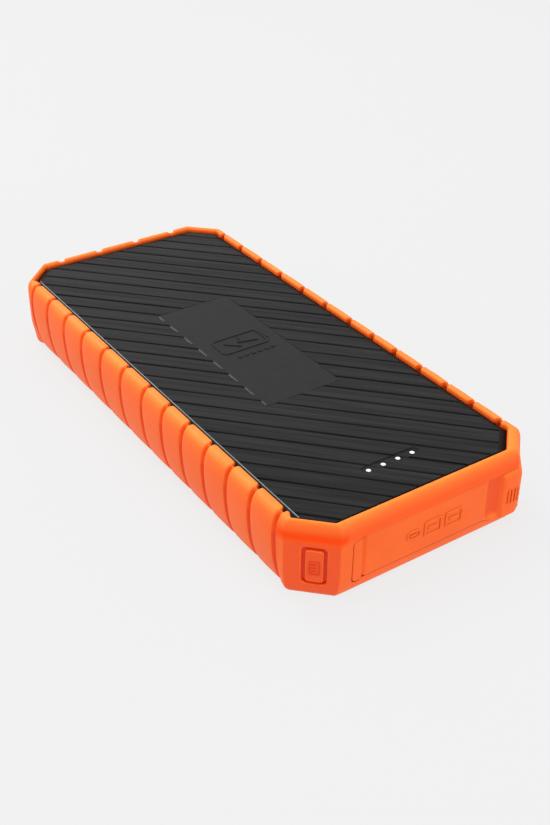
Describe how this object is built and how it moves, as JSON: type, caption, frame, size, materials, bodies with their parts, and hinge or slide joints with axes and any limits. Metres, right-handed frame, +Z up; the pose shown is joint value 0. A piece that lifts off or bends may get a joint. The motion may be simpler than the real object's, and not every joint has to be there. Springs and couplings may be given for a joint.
{
  "type": "rugged power bank",
  "caption": "Rugged power bank: black plastic case with a slatted top in a ribbed orange rubber sleeve, swing-out port flap, corner push button.",
  "frame": {"origin": "centre of the footprint, on the plane the object rests on", "axes": "+X across the width, +Y along the length away from the ports (ports and flap face -Y), +Z up out of the slatted top"},
  "size_m": [0.081, 0.1783, 0.0237],
  "materials": {
    "black_plastic": "satin, finely brushed",
    "orange_rubber": "soft satin",
    "seal_rubber": "matte",
    "screw_steel": "satin",
    "plated_steel": "bright",
    "connector_plastic": "matte",
    "circuit_board": "satin",
    "ferrite": "matte",
    "capacitor_can": "satin",
    "chip_resin": "matte",
    "light_phosphor": "matte",
    "light_lens": "frosted",
    "ribbon_film": "satin",
    "pouch_foil": "satin",
    "tape_film": "satin",
    "foam": "matte",
    "nickel": "satin",
    "wire_red": "satin",
    "wire_black": "satin"
  },
  "bodies": {
    "housing": {"top_cover": "black_plastic", "lower_case": "black_plastic", "bumper_sleeve": "orange_rubber", "case_gasket": "seal_rubber", "case_screws": "screw_steel", "switch_body": "connector_plastic", "flap_anchor": "orange_rubber", "port_bezel": "black_plastic", "usb_a_left_shell": "plated_steel", "usb_a_right_shell": "plated_steel", "usb_c_shell": "plated_steel", "usb_a_left_tongue": "connector_plastic", "usb_a_right_tongue": "connector_plastic", "usb_c_tongue": "connector_plastic", "main_pcb": "circuit_board", "led_board": "circuit_board", "protection_board": "circuit_board", "pcb_screws": "screw_steel", "inductors": "ferrite", "filter_capacitors": "capacitor_can", "charge_controller": "chip_resin", "power_switches": "chip_resin", "led_chips": "light_phosphor", "led_lenses": "light_lens", "led_ribbon": "ribbon_film", "cell_lower": "pouch_foil", "cell_upper": "pouch_foil", "cell_tape": "tape_film", "foam_pads": "foam", "cell_tabs": "nickel", "lead_positive": "wire_red", "lead_negative": "wire_black"},
    "flap": {"port_flap": "orange_rubber", "flap_seal": "orange_rubber"},
    "button": {"power_button": "orange_rubber", "switch_plunger": "connector_plastic"}
  },
  "joints": [
    {"name": "flap_hinge", "type": "hinge", "parent": "housing", "child": "flap", "pos_m": [-0.02138, -0.08865, 0.0111], "axis": [0, 0, -1], "range_deg": [0, 115]},
    {"name": "button_press", "type": "slide", "parent": "housing", "child": "button", "axis": [0.7071, 0.7071, 0], "range_m": [0, 0.0005], "stiffness_N_per_m": 200}
  ]
}
